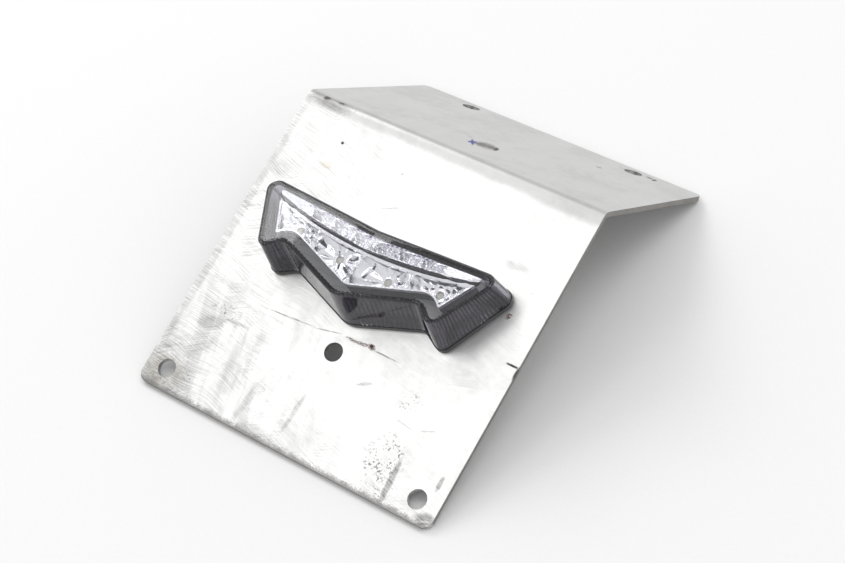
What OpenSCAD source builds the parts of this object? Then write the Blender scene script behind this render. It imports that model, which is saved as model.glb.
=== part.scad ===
// Tail tidy: a number-plate bracket folded from one stainless sheet, with an LED tail lamp bolted to it.
// Both free edges rest on the ground, so the bracket stands like a tent.
// X runs along the fold, Y from the number-plate panel to the tail flange, Z up.

/* [Sheet] */
// Width of the sheet along the fold
sheet_w = 130; // [122:1:160]
// Length of the number-plate panel, from its free edge to the sharp outer corner of the fold
panel_len = 126; // [120:1:160]
// Length of the tail flange, from its free edge to the sharp outer corner of the fold
flange_len = 84; // [70:1:110]
// Thickness of the sheet
sheet_t = 2; // [1.5:0.1:3]
// Angle that the sheet is bent through
bend_angle = 60; // [45:1:75]
// Inner radius of the bend
bend_r = 2; // [1:0.5:5]
// Corner radius of the panel's free edge
panel_corner_r = 4; // [1:0.5:8]
// Corner radius of the flange's free edge
flange_corner_r = 3; // [1:0.5:8]

/* [Fixing holes] */
// Diameter of the fixing holes, clear of an M6 bolt
fixing_d = 7.2; // [5:0.1:8]
// Distance from the two lower holes to the panel's side edges
plate_side = 9; // [7:0.5:16]
// Distance from the lower holes to the panel's free edge
plate_edge = 8; // [6:0.5:12]
// Distance from the panel's middle hole to the fold
plate_middle = 85.8; // [83:0.1:100]
// Spacing of the two holes in the flange
tail_span = 76; // [40:1:110]
// Distance from the flange holes to the flange's free edge
tail_edge = 7.5; // [6:0.5:20]

/* [Lamp foot] */
// Distance from the fold to the line of the lamp's studs
lamp_down = 53; // [50:0.5:56]
// Top edge of the foot at the middle, above the stud line
foot_top = 11.5; // [10:0.1:14]
// Half width of the foot at its sharp upper corners
foot_end_x = 54; // [52:0.1:58]
// Upper corners of the foot, above the stud line
foot_end_y = 13.5; // [12:0.1:16]
// Half spacing of the sharp lower tips
foot_tip_x = 37.7; // [36:0.1:40]
// Lower tips, below the stud line
foot_tip_y = 17.8; // [16:0.1:20]
// Half spacing of the notches between the tips and the apex
foot_notch_x = 28.2; // [27:0.1:30]
// Notches, below the stud line
foot_notch_y = 12.4; // [11:0.1:13.5]
// Sharp lower apex, below the stud line
foot_apex_y = 22.4; // [20:0.1:25]
// Height of the foot's outer band
foot_h = 2.3; // [1.8:0.1:4]

/* [Lamp lens] */
// Ledge of the foot that the lens stands back by
lens_ledge = 0.25; // [0.1:0.05:0.6]
// Thickness of the lens
lens_wall = 2; // [1.5:0.1:2.4]
// Top edge of the face at the middle, above the stud line
face_top = 10.4; // [9:0.1:12]
// Half width of the face at its sharp upper corners
face_end_x = 51.7; // [50:0.1:53]
// Upper corners of the face, above the stud line
face_end_y = 13.1; // [11:0.1:14]
// Half spacing of the face's tips
face_tip_x = 37; // [36:0.1:39]
// Tips of the face, below the stud line
face_tip_y = 14.8; // [12:0.1:16]
// Half spacing of the face's notches
face_notch_x = 29.4; // [28:0.1:31]
// Notches of the face, below the stud line
face_notch_y = 8.2; // [7:0.1:10]
// Apex of the face, below the stud line
face_apex_y = 18.4; // [17:0.1:21]
// Height of the face above the panel, at the stud line
face_h = 19.6; // [18:0.1:22]
// Rise of the face towards the apex, for each millimetre
face_rise = 0.155; // [0.1:0.005:0.2]
// Height that the face loses at its upper corners, from its middle
face_fall = 2; // [1:0.1:3]
// Crease across the face at the middle, above the stud line
crease_y = 2.5; // [1:0.1:4]
// Rise of the crease from its middle to the face's upper corners
crease_bow = 9.1; // [7:0.1:10]
// Height of the face's top edge at the middle
rim_h = 16.8; // [15:0.1:17.6]
// Height of the face's top edge at its ends
rim_end_h = 15.6; // [14.5:0.1:16.5]
// Radius of the edge round the face
rim_r = 1.2; // [0.6:0.1:1.6]
// Radius of the upper corners
end_r = 4; // [2.5:0.1:6]
// Radius of the lower tips
tip_r = 3.6; // [2:0.1:5]
// Radius in the notches
notch_r = 4; // [2:0.1:6]
// Radius of the apex
apex_r = 9; // [5:0.5:14]
// Spacing of the upright flutes inside the lower walls
flute_pitch = 1.6; // [1.4:0.1:3]
// Depth of the flutes
flute_depth = 0.35; // [0.1:0.05:0.5]

/* [Lamp foot inside] */
// Clearance between the foot's lip and the lens
lip_gap = 0.3; // [0.25:0.05:0.4]
// Thickness of the lip
lip_t = 1.2; // [0.8:0.1:1.4]
// Height of the lip above the band
lip_h = 2.5; // [2:0.1:4]
// Half spacing of the studs
stud_x = 27; // [24:0.5:29]
// Radius of the stud bosses
boss_r = 6.2; // [5.5:0.1:6.5]
// Diameter of the studs
stud_d = 5; // [4:0.5:6]
// Length of the studs below the panel's face
stud_len = 13; // [11:0.5:15]
// Chamfer of the studs' ends
stud_chamfer = 0.7; // [0.3:0.1:1]
// Width of the studs' hexagon heads across the flats
head_af = 8; // [7:0.5:9]
// Height of the studs' heads
head_h = 3.4; // [2.5:0.1:3.8]
// Floor under the studs' heads
head_floor = 2.5; // [2:0.1:3]

// Thickness of the walls round the board's screws
screw_wall = 1.5; // [1.2:0.1:1.6]
// Thickness of the wall round the grommet's seat
grommet_wall = 2; // [1.5:0.1:2.2]

/* [Nuts and washers] */
// Clearance between a stud and what slips over it
slip = 0.25; // [0.2:0.05:0.4]
// Outer diameter of the flat washers
washer_d = 10; // [9:0.5:12]
// Thickness of the flat washers
washer_t = 1; // [0.8:0.1:1.5]
// Outer diameter of the spring washers
spring_d = 8.8; // [8:0.1:9.5]
// Thickness of the spring washers
spring_t = 1.3; // [1:0.1:1.6]
// Gap in the spring washers
spring_gap = 0.8; // [0.5:0.1:1.2]
// Width of the nuts across the flats
nut_af = 8; // [7:0.5:10]
// Height of the nuts
nut_h = 4; // [3:0.1:5]
// Slope of the chamfers on the nuts' corners
nut_slope = 30; // [20:1:40]

/* [Cable grommet] */
// Diameter of the hole in the panel that the grommet seats in
cable_hole_d = 10; // [9:0.5:11]
// Diameter of the grommet's bore
grommet_bore = 5; // [4:0.5:6]
// Diameter of the grommet's flanges
grommet_d = 13.6; // [13:0.1:14.5]
// Thickness of the grommet's flanges
grommet_flange = 1.5; // [1.2:0.1:1.7]
// Clearance round the grommet
grommet_gap = 0.2; // [0.1:0.05:0.4]

/* [Circuit board] */
// Underside of the board above the panel
board_z = 7; // [6.6:0.1:7.2]
// Thickness of the board
board_t = 1.6; // [1.2:0.1:1.8]
// Distance from the foot's outline to the board's edge
board_inset = 4.4; // [4.3:0.1:5]
// Width of the brake lamps and the number-plate lamps
led_w = 3.5; // [3:0.1:4]
// Width of the lamps behind the crease
tail_led_w = 2.8; // [2.4:0.1:2.8]
// Height of the surface-mounted lamps
led_h = 1.2; // [0.8:0.1:1.4]
// Number of lamps behind the crease
tail_count = 6; // [4:1:6]
// Spacing of the lamps behind the crease
tail_pitch = 9.6; // [9.2:0.1:12.5]
// Half spacing of the inner bowls
inner_x = 10.6; // [10:0.1:11.2]
// Inner bowls, below the stud line
inner_y = 4.2; // [3:0.1:5]
// Half spacing of the wing bowls
wing_x = 30.5; // [30:0.1:31]
// Wing bowls, below the stud line
wing_y = 0.6; // [0:0.1:1.5]
// Spacing of the lamps that light the number plate
plate_led_pitch = 8; // [6:0.5:10]
// Line of the number-plate lamps, below the stud line
plate_led_y = 13; // [12:0.1:13.4]
// Half spacing of the board's screws
screw_x = 36.5; // [36.3:0.1:36.7]
// Board's screws, above the stud line
screw_y = 2.6; // [2.4:0.1:2.8]
// Diameter of the board's screws
screw_d = 2.2; // [2:0.1:2.5]
// Diameter of the screws' heads
screw_head_d = 3.4; // [3:0.1:3.5]
// Height of the screws' heads
screw_head_h = 0.9; // [0.7:0.1:1]
// Length of the cross recess in the screws' heads
recess_l = 2; // [1.6:0.1:2.4]
// Breadth of the cross recess
recess_b = 0.5; // [0.3:0.05:0.7]
// Depth of the cross recess
recess_h = 0.6; // [0.3:0.05:0.65]
// Depth of the round windows in the lamps
window_h = 0.3; // [0.1:0.05:0.6]
// Share of a lamp's width that its window takes
window_share = 0.8; // [0.6:0.05:0.9]

/* [Reflector] */
// Distance from the face's outline to the reflector's lower edges
rim_inset = 5.4; // [5:0.1:6]
// Distance from the face's top edge to the reflector's upper edge
rim_inset_top = 2.5; // [2.4:0.1:3]
// Depth of the reflector's deck below the face
deck_drop = 4.2; // [4:0.1:5]
// Height of the strip behind the crease
strip_z = 12.6; // [12:0.1:13]
// Thickness of the reflector
reflector_t = 1.1; // [0.9:0.1:1.3]
// Width of the lip round the mouths of the bowls
mouth_lip = 0.7; // [0.5:0.1:1]
// Distance from the crease to the mouths of the bowls
crease_band = 2.4; // [2.2:0.1:3]
// Width of the rib along the crease
rib_t = 1; // [0.6:0.1:1.4]
// Height of the rib above the deck
rib_h = 0.5; // [0.2:0.1:0.5]
// Radius of the inner bowls where they meet the deck
inner_bowl_r = 11.5; // [10:0.1:11.8]
// Radius of the wing bowls where they meet the deck
wing_bowl_r = 10; // [8.5:0.1:10.1]
// Slope of the flat facets at the reflector's ends
facet_slope = 25; // [10:1:28]
// Distance from the middle at which those facets reach the deck
facet_x = 42; // [41.5:0.1:43]
// Length of those facets down their slope
facet_len = 7; // [6:0.1:7.4]
// Width of the pockets in the strip
pocket_w = 8.8; // [7:0.1:9]
// Breadth of the pockets in the strip
pocket_b = 3.2; // [3:0.1:3.4]
// Width of the pockets' openings over the lamps
pocket_low = 2.9; // [2.5:0.1:3.2]
// Thickness of the pockets' walls
pocket_wall = 0.6; // [0.4:0.05:0.7]
// Radius of the openings round the lamps
led_opening_r = 2.7; // [2.6:0.05:2.9]

/* [Hidden] */
$fn = 48;

// Cuts run this far past what they cut
over = 1;
// Outer radius and setback of the bend
bend_out = bend_r + sheet_t;
setback = bend_out * tan(bend_angle / 2);
// Slope at which the panel's and the flange's inner edges both touch the ground
lean = atan2(
    flange_len * sin(bend_angle) - sheet_t * (1 - cos(bend_angle)),
    panel_len + flange_len * cos(bend_angle) - sheet_t * sin(bend_angle)
);
// Sharp outer corner of the fold, with the origin under the middle of the outline
ridge_z = panel_len * sin(lean) + sheet_t * cos(lean);
ridge_y = (panel_len * cos(lean) - flange_len * cos(bend_angle - lean)) / 2;
// Places and sizes of the small electronic parts under the board
part_x = 12.5;
part_up = 5;
part_down = 7;
resistor_size = [6.3, 3.2, 0.7];
diode_size = [4.6, 2.7, 2];
// Colours
steel = "gainsboro";
zinc = "silver";
black = [0.08, 0.08, 0.09];
smoke = [0.3, 0.31, 0.36, 0.45];
chrome = [0.86, 0.87, 0.92];

// Places a child from the panel's own frame: X along the fold, Y up the panel, Z out of its face
module on_panel() {
    translate([0, ridge_y, ridge_z]) rotate([lean, 0, 0]) children();
}

// Places a child from the lamp's frame, whose origin is midway between the studs
module on_lamp() {
    on_panel() translate([0, -lamp_down, 0]) children();
}

// Section through the sheet, with Y as its X and Z as its Y
module sheet_section() {
    reach = 2 * bend_out;
    translate([-panel_len, -sheet_t]) square([panel_len - setback, sheet_t]);
    translate([-setback, -bend_out]) intersection() {
        difference() {
            circle(bend_out, $fn = 96);
            circle(bend_r, $fn = 96);
        }
        polygon([
            [0, 0],
            [0, reach],
            [reach * tan(bend_angle / 2), reach],
            reach * [sin(bend_angle), cos(bend_angle)]
        ]);
    }
    rotate(-bend_angle) translate([setback, -sheet_t]) square([flange_len - setback, sheet_t]);
}

// Cutter that rounds a corner of the sheet, whose sharp point is at the origin
module corner_cut(r) {
    translate([0, 0, -sheet_t - over]) linear_extrude(sheet_t + 2 * over) difference() {
        translate([-over, -over]) square(r + over);
        translate([r, r]) circle(r);
    }
}

// Places a child at a free corner of a leaf, on the side of the given sign, with its edges along +X and +Y
module at_corner(side, length) {
    translate([side * sheet_w / 2, -length, 0]) mirror([side > 0 ? 1 : 0, 0, 0]) children();
}

// Places a child on the flange, which is seen there as a second panel that runs down from the fold
module on_flange() {
    rotate([-bend_angle, 0, 0]) mirror([0, 1, 0]) children();
}

module bracket() {
    color(steel) on_panel() difference() {
        rotate([90, 0, 90]) linear_extrude(sheet_w, center = true) sheet_section();
        for (side = [-1, 1]) {
            at_corner(side, panel_len) corner_cut(panel_corner_r);
            on_flange() at_corner(side, flange_len) corner_cut(flange_corner_r);
            translate([side * (sheet_w / 2 - plate_side), plate_edge - panel_len, 0]) sheet_hole(fixing_d);
            translate([side * stud_x, -lamp_down, 0]) sheet_hole(stud_d + 2 * slip);
            on_flange() translate([side * tail_span / 2, tail_edge - flange_len, 0]) sheet_hole(fixing_d);
        }
        translate([0, -plate_middle, 0]) sheet_hole(fixing_d);
        translate([0, -lamp_down, 0]) sheet_hole(cable_hole_d);
    }
}

// Cutter for a round hole through the sheet
module sheet_hole(d) {
    translate([0, 0, -sheet_t - over]) cylinder(h = sheet_t + 2 * over, d = d);
}

// Outline of the lamp.
// The right half has five sharp corners in turn: top middle, end, tip, notch and apex.
foot = [
    [0, foot_top],
    [foot_end_x, foot_end_y],
    [foot_tip_x, -foot_tip_y],
    [foot_notch_x, -foot_notch_y],
    [0, -foot_apex_y]
];
face = [
    [0, face_top],
    [face_end_x, face_end_y],
    [face_tip_x, -face_tip_y],
    [face_notch_x, -face_notch_y],
    [0, -face_apex_y]
];

function unit(v) = v / norm(v);
function flip(p) = [-p[0], p[1]];
// Line from p to q, moved by d to the inner side of the outline
function moved(p, q, d) = let (u = unit(q - p), s = d * [u[1], -u[0]]) [p + s, q + s];
// Meeting point of two lines
function meet(a, b) =
    let (u = a[1] - a[0], v = b[1] - b[0], w = b[0] - a[0])
    a[0] + u * (w[0] * v[1] - w[1] * v[0]) / (u[0] * v[1] - u[1] * v[0]);
// Corners of the outline after its top edge moves in by dt and its other edges by d
function inset(c, d, dt) =
    let (
        top = moved(c[0], c[1], dt),
        side = moved(c[1], c[2], d),
        tip = moved(c[2], c[3], d),
        low = moved(c[3], c[4], d),
        axis = [[0, 0], [0, 1]]
    )
    [meet(top, axis), meet(top, side), meet(side, tip), meet(tip, low), meet(low, axis)];
// Corner radii after the outline moves in by d
function radii(d) = [max(end_r - d, 0.4), max(tip_r - d, 0.4), notch_r + d, max(apex_r - d, 2)];
// Centre of the arc of radius r that rounds the corner at b
function arc_centre(a, b, c, r) =
    let (u = unit(a - b), v = unit(c - b), m = unit(u + v))
    b + m * r / sqrt((1 - u * v) / 2);
// Points of that arc, from fraction f0 to f1 of its sweep
function arc(a, b, c, r, n, f0 = 0, f1 = 1) =
    let (
        o = arc_centre(a, b, c, r),
        u = unit(a - b),
        v = unit(c - b),
        t0 = b + u * ((o - b) * u) - o,
        t1 = b + v * ((o - b) * v) - o,
        a0 = atan2(t0[1], t0[0]),
        turn = atan2(t0[0] * t1[1] - t0[1] * t1[0], t0 * t1)
    )
    [for (i = [0:n]) let (w = a0 + turn * (f0 + (f1 - f0) * i / n)) o + r * [cos(w), sin(w)]];
// Points strictly between p and q, crowded towards p by the power k
function between(p, q, n, k = 1) = [for (i = [1:n - 1]) p + (q - p) * pow(i / n, k)];
// Arc of the end corner from its outermost point down to the side
function end_arc(c, r, n) =
    let (
        o = arc_centre(c[0], c[1], c[2], r),
        u = unit(c[2] - c[1]),
        a1 = atan2(-u[0], u[1]) + 180
    )
    [for (i = [0:n]) let (w = (a1 - 360) * i / n) o + r * [cos(w), sin(w)]];
// Lower boundary of the right half, from the outermost point to the apex.
// It has n[0] steps round the end, then n[1] down the side, and so on round the tip, along the short edge,
// round the notch, along the long edge and round half the apex. The side's steps are crowded by the power k.
function lower_half(c, r, n, k) =
    let (
        e = end_arc(c, r[0], n[0]),
        t = arc(c[1], c[2], c[3], r[1], n[2]),
        v = arc(c[2], c[3], c[4], r[2], n[4]),
        a = arc(c[3], c[4], flip(c[3]), r[3], n[6], 0, 0.5)
    )
    concat(
        e,
        between(e[n[0]], t[0], n[1], k),
        t,
        between(t[n[2]], v[0], n[3]),
        v,
        between(v[n[4]], a[0], n[5]),
        a
    );
function mirrored(h) = concat(h, [for (i = [len(h) - 2:-1:0]) flip(h[i])]);
// Lower boundary of the whole outline, with even steps where it takes flutes
function lower_line(c, r, depth = 0) =
    mirrored(depth > 0 ? lower_half(c, r, flute_steps, 1) : lower_half(c, r, plain_steps, 1.7));
// Every second point moves out by the depth, apart from those near the two ends
function fluted(p, depth) =
    [for (i = [0:len(p) - 1])
        i % 2 == 0 || min(i, len(p) - 1 - i) < flute_start ? p[i]
        : let (u = unit(p[i + 1] - p[i - 1])) p[i] - depth * [u[1], -u[0]]];
// Height of the top edge of the outline over a point of the lower boundary
function upper_y(c, r, x) =
    let (
        o = arc_centre(c[0], c[1], c[2], r[0]),
        line = c[0][1] + (c[1][1] - c[0][1]) * abs(x) / c[1][0],
        dx = abs(x) - o[0]
    )
    dx > 0 ? min(line, o[1] + sqrt(max(r[0] * r[0] - dx * dx, 0))) : line;
function upper(c, r, low) = [for (p = low) [p[0], upper_y(c, r, p[0])]];
// The whole outline, closed
function outline(c, r) =
    let (low = lower_line(c, r), up = upper(c, r, low), n = len(low))
    concat(low, [for (i = [n - 2:-1:1]) up[i]]);

// Steps of the lower boundary. Two of them make a flute, and the ends stay plain up to the start.
plain_steps = [2, 9, 6, 2, 4, 6, 3];
foot_edges = [
    norm(foot[2] - foot[1]) - end_r - tip_r,
    2 * tip_r,
    norm(foot[3] - foot[2]) - tip_r - notch_r,
    notch_r,
    norm(foot[4] - foot[3]) - notch_r - apex_r / 3,
    apex_r / 3
];
flute_steps = concat([2], [for (e = foot_edges) 2 * max(round(e / flute_pitch), 1)]);
flute_start = 6;
// Depth and half breadth of the fine groove in the crease
groove = 0.12;
groove_b = 1;

// Surface of the face, in the lamp's frame
function crease_at(x) = crease_y + crease_bow * pow(x / face_end_x, 2);
function lower_face(x, y) = face_h - face_rise * y - face_fall * pow(x / face_end_x, 2);
function rim_at(x) = rim_h - (rim_h - rim_end_h) * pow(x / face_end_x, 2);
function face_z(x, y) =
    let (
        yc = crease_at(x),
        yt = max(upper_y(face, radii(0), min(abs(x), face_end_x - 1)), yc + 1),
        zc = lower_face(x, yc)
    )
    y <= yc ? lower_face(x, y) : zc + (rim_at(x) - zc) * (y - yc) / (yt - yc);

// Solid of the lamp's outer form, moved in by d on the sides and down by d at the face.
// Its walls lean from the foot's outline at z0 to the face's outline, and its upper edge has the radius e.
// Its lower walls have flutes of the given depth.
module lamp_form(d, z0, e, depth = 0) {
    cb = inset(foot, lens_ledge + d, lens_ledge + d);
    cf = inset(face, d, d);
    steps = e > 0 ? [0, 30, 60, 90] : [90];
    top = len(steps);
    in = [for (w = steps) e * (1 - cos(w))];
    lows = concat(
        [lower_line(cb, radii(lens_ledge + d), depth)],
        [for (q = in) lower_line(inset(cf, q, q), radii(d + q), depth)]
    );
    ups = concat(
        [upper(cb, radii(lens_ledge + d), lows[0])],
        [for (k = [0:top - 1]) upper(inset(cf, in[k], in[k]), radii(d + in[k]), lows[k + 1])]
    );
    n = len(lows[0]);
    m = 2 * n - 2;
    drop = [for (w = steps) d + e * (1 - sin(w))];
    rings = [for (k = [0:top])
        let (low = depth > 0 ? fluted(lows[k], depth) : lows[k])
        [for (p = concat(low, [for (i = [n - 2:-1:1]) ups[k][i]]))
            [p[0], p[1], k == 0 ? z0 : face_z(p[0], p[1]) - drop[k - 1]]]];
    rows = [for (s = [-1, 0, 1]) [for (i = [1:n - 2])
        let (
            a = lows[top][i],
            b = ups[top][i],
            yc = min(max(crease_at(a[0]), a[1] + 0.3 * (b[1] - a[1])), b[1] - 0.3 * (b[1] - a[1])),
            y = yc + s * min(groove_b, 0.2 * (b[1] - a[1]))
        )
        [a[0], y, face_z(a[0], y) - d - (s == 0 ? groove : 0)]]];
    points = concat([for (r = rings) each r], [for (r = rows) each r]);
    start = m * (top + 1);
    // Index of a vertex of the cap: row 0 is the lower boundary and row 4 the upper one
    function cap(r, i) =
        i == 0 ? m * top : i == n - 1 ? m * top + n - 1
        : r == 0 ? m * top + i : r == 4 ? m * top + m - i : start + (r - 1) * (n - 2) + i - 1;
    function base(r, i) = i == 0 ? 0 : i == n - 1 ? n - 1 : r == 0 ? i : m - i;
    walls = [for (k = [0:top - 1]) for (j = [0:m - 1])
        let (a = m * k + j, b = m * k + (j + 1) % m)
        each [[a, b, b + m], [a, b + m, a + m]]];
    roof = [for (r = [0:3]) for (i = [0:n - 2])
        let (a = cap(r, i), b = cap(r, i + 1), c = cap(r + 1, i + 1), e = cap(r + 1, i))
        each concat(a == e ? [] : [[a, c, e]], b == c ? [] : [[a, b, c]])];
    bottom = [for (i = [0:n - 2])
        let (a = base(0, i), b = base(0, i + 1), c = base(1, i + 1), e = base(1, i))
        each concat(a == e ? [] : [[e, c, a]], b == c ? [] : [[c, b, a]])];
    polyhedron(points, concat(walls, roof, bottom), convexity = 6);
}

module lamp_lens() {
    color(smoke) on_lamp() difference() {
        lamp_form(0, foot_h, rim_r);
        lamp_form(lens_wall, foot_h - over, 0, flute_depth);
    }
}

// Flat plate with the foot's outline moved in by d
module foot_plate(d, h) {
    linear_extrude(h) polygon(outline(inset(foot, d, d), radii(d)));
}

// Lean of the lamp's lower walls, and the lip that stays clear of them
draft = (foot_notch_y - face_notch_y) / (face_h - foot_h);
lip_out = lens_ledge + lens_wall + lip_gap + draft * lip_h;

module lamp_base() {
    color(black) on_lamp() difference() {
        union() {
            foot_plate(0, foot_h);
            difference() {
                foot_plate(lip_out, foot_h + lip_h);
                translate([0, 0, foot_h]) foot_plate(lip_out + lip_t, lip_h + over);
            }
            for (side = [-1, 1]) {
                translate([side * stud_x, 0, 0]) cylinder(h = board_z, r = boss_r);
                translate([side * screw_x, screw_y, 0]) cylinder(h = board_z, r = screw_d / 2 + screw_wall);
            }
            cylinder(h = grommet_flange + foot_h, d = grommet_d + 2 * grommet_wall);
        }
        for (side = [-1, 1]) {
            translate([side * stud_x, 0, -over]) cylinder(h = board_z, d = stud_d + slip);
            translate([side * stud_x, 0, head_floor])
                cylinder(h = board_z, d = (head_af + slip) / cos(30), $fn = 6);
            translate([side * screw_x, screw_y, foot_h]) cylinder(h = board_z, d = screw_d);
        }
        translate([0, 0, -over])
            cylinder(h = grommet_flange + grommet_gap + over, d = grommet_d + 2 * grommet_gap);
        translate([0, 0, -over]) cylinder(h = board_z, d = grommet_bore);
    }
}

board_top = board_z + board_t;

module circuit_board() {
    color("darkgreen") on_lamp() translate([0, 0, board_z]) difference() {
        foot_plate(board_inset, board_t);
        for (side = [-1, 1]) translate([side * screw_x, screw_y, -over])
            cylinder(h = board_t + 2 * over, d = screw_d + slip);
    }
}

// Height of the reflector's deck, a plane that rises with the face
function deck_z(y) = face_h - deck_drop - face_rise * y;

// Prism with the reflector's outline between two heights.
// Its upper edge moves in by dt and its other edges by d.
module reflector_prism(d, dt, z0, z1) {
    c = inset(inset(face, rim_inset, rim_inset_top), d, dt);
    translate([0, 0, z0]) linear_extrude(z1 - z0) polygon(outline(c, radii(rim_inset - 2 + d)));
}

// Space under the deck, lowered by d, on the lower side of the crease
module under_deck(d) {
    reach = 60;
    translate([0, 0, face_h - deck_drop - d]) rotate([-atan(face_rise), 0, 0])
        translate([-reach, -reach, -reach]) cube([2 * reach, 2 * reach, reach]);
}

// Plan of the strip behind the crease, moved towards the apex by d
module strip_plan(d, h) {
    reach = 60;
    low = [for (x = [-reach:5:reach]) [x, crease_at(x) - d]];
    linear_extrude(h) polygon(concat(low, [[reach, reach], [-reach, reach]]));
}

// Place and size of the four bowls
bowls = [
    [-wing_x, -wing_y, wing_bowl_r],
    [-inner_x, -inner_y, inner_bowl_r],
    [inner_x, -inner_y, inner_bowl_r],
    [wing_x, -wing_y, wing_bowl_r]
];
// A bowl is part of a sphere that passes through the rim of radius r and ends at the board lamps
module bowl(b, wall) {
    depth = deck_z(b[1]) - board_top - led_h;
    rs = (b[2] * b[2] + depth * depth) / (2 * depth);
    translate([b[0], b[1], board_top + led_h + rs]) sphere(rs + wall);
}

// Space over the flat facet at one end, which falls from the deck towards the wing bowl
module end_facet(side, wall) {
    reach = 30;
    translate([side * facet_x, 0, deck_z(0) - wall / cos(facet_slope)]) mirror([side > 0 ? 0 : 1, 0, 0])
        rotate([-atan(face_rise), -facet_slope, 0])
            translate([-facet_len, -reach, 0]) cube([facet_len + reach, 2 * reach, reach]);
}

// Everything over the deck and over the strip
module over_deck() {
    reach = 160;
    difference() {
        translate([-reach / 2, -reach / 2, 0]) cube([reach, reach, face_h + 2 * over]);
        under_deck(0);
    }
    translate([0, 0, strip_z]) strip_plan(0, face_h);
}

// Hollow under the deck, which leaves the backs of the bowls, of the end facets and of the pockets.
// It is open along the upper edge.
module reflector_hollow() {
    difference() {
        intersection() {
            reflector_prism(reflector_t, -over, board_top - over, face_h);
            under_deck(reflector_t);
        }
        for (b = bowls) bowl(b, reflector_t);
        for (side = [-1, 1]) end_facet(side, reflector_t);
        translate([0, 0, strip_z - reflector_t]) strip_plan(reflector_t, face_h);
        for (i = [1:tail_count]) at_tail(i)
            translate([-pocket_w / 2 - pocket_wall, -pocket_b / 2 - pocket_wall, led_h + slip])
                cube([pocket_w + 2 * pocket_wall, pocket_b + 2 * pocket_wall, face_h]);
    }
}

// Mouths of the bowls and of the end facets, which leave a lip at the skirt and a band at the crease
module bowl_mouths() {
    difference() {
        intersection() {
            reflector_prism(mouth_lip, mouth_lip, board_top + led_h, face_h);
            union() {
                for (b = bowls) bowl(b, 0);
                for (side = [-1, 1]) end_facet(side, 0);
            }
        }
        strip_plan(crease_band, face_h);
    }
}

// Rib along the crease, which keeps the light of the bowls out of the strip
module crease_rib() {
    intersection() {
        reflector_prism(0, 0, strip_z, face_h);
        difference() {
            strip_plan(rib_t, face_h);
            strip_plan(0, face_h);
        }
        difference() {
            under_deck(-rib_h);
            under_deck(reflector_t / 2);
        }
    }
}

module reflector() {
    color(chrome) on_lamp() {
        difference() {
            reflector_prism(0, 0, board_top, face_h + over);
            over_deck();
            reflector_hollow();
            bowl_mouths();
            for (b = bowls) translate([b[0], b[1], board_top - over])
                cylinder(h = led_h + 2 * over, r = led_opening_r);
            for (i = [1:tail_count]) at_tail(i) pocket();
        }
        crease_rib();
    }
}

// Funnel that widens from a lamp of the strip to the strip's surface
module pocket() {
    low = pocket_low / 2;
    wide = [pocket_w / 2, pocket_b / 2];
    corners = [[-1, -1], [-1, 1], [1, 1], [1, -1]];
    points = concat(
        [for (c = corners) [c[0] * low, c[1] * low, led_h]],
        [for (c = corners) [c[0] * wide[0], c[1] * wide[1], strip_z - board_top + 0.01]]
    );
    walls = [for (i = [0:3]) let (j = (i + 1) % 4) [i, j, j + 4, i + 4]];
    polyhedron(points, concat([[3, 2, 1, 0], [4, 5, 6, 7]], walls));
}

function tail_x(i) = (i - (tail_count + 1) / 2) * tail_pitch;

// Places a child on the board at a lamp of the strip
module at_tail(i) {
    x = tail_x(i);
    edge = upper_y(face, radii(0), x) - rim_inset_top;
    translate([x, (crease_at(x) + edge) / 2, board_top]) children();
}

// Surface-mounted lamp with a round window
module led(w, h) {
    difference() {
        translate([-w / 2, -w / 2, 0]) cube([w, w, h]);
        translate([0, 0, h - window_h]) cylinder(h = window_h + over, d = w * window_share);
    }
}

module tail_led(i) {
    color("white") on_lamp() at_tail(i) led(tail_led_w, led_h);
}

module brake_led(i) {
    color("white") on_lamp() translate([bowls[i - 1][0], bowls[i - 1][1], board_top]) led(led_w, led_h);
}

module plate_led(i) {
    color("white") on_lamp() translate([(i - 2) * plate_led_pitch, -plate_led_y, board_z - led_h])
        led(led_w, led_h);
}

// Moulded body of an electronic part, soldered under the board
module chip(x, y, size) {
    on_lamp() translate([x - size[0] / 2, y - size[1] / 2, board_z - size[2]]) cube(size);
}

module resistor(i) {
    place = [[-part_x, part_up], [part_x, part_up], [part_x, -part_down]][i - 1];
    color("dimgray") chip(place[0], place[1], resistor_size);
}

module diode() {
    color("black") chip(-part_x, -part_down, diode_size);
}

// Self-tapping screw that holds the board, with a round head and a cross recess
module board_screw(side) {
    tip = foot_h + slip;
    color(zinc) on_lamp() translate([side * screw_x, screw_y, 0]) difference() {
        union() {
            translate([0, 0, tip]) cylinder(h = board_top - tip, d = screw_d);
            translate([0, 0, board_top]) cylinder(h = screw_head_h, d = screw_head_d);
        }
        for (turn = [0, 90]) rotate([0, 0, turn])
            translate([-recess_l / 2, -recess_b / 2, board_top + screw_head_h - recess_h])
                cube([recess_l, recess_b, recess_h + over]);
    }
}

// Stud with a hexagon head in the foot, a chamfered end and its shank through the panel
module stud(side) {
    color(zinc) on_lamp() translate([side * stud_x, 0, 0]) {
        translate([0, 0, head_floor]) cylinder(h = head_h, d = head_af / cos(30), $fn = 6);
        translate([0, 0, stud_chamfer - stud_len])
            cylinder(h = stud_len + head_floor - stud_chamfer, d = stud_d);
        translate([0, 0, -stud_len]) cylinder(h = stud_chamfer, d1 = stud_d - 2 * stud_chamfer, d2 = stud_d);
    }
}

// Ring round a stud, between two depths under the panel's face
module ring(side, depth, t, d) {
    on_lamp() translate([side * stud_x, 0, -depth - t]) difference() {
        cylinder(h = t, d = d);
        translate([0, 0, -over]) cylinder(h = t + 2 * over, d = stud_d + slip);
    }
}

module washer(side) {
    color(zinc) ring(side, sheet_t, washer_t, washer_d);
}

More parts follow.
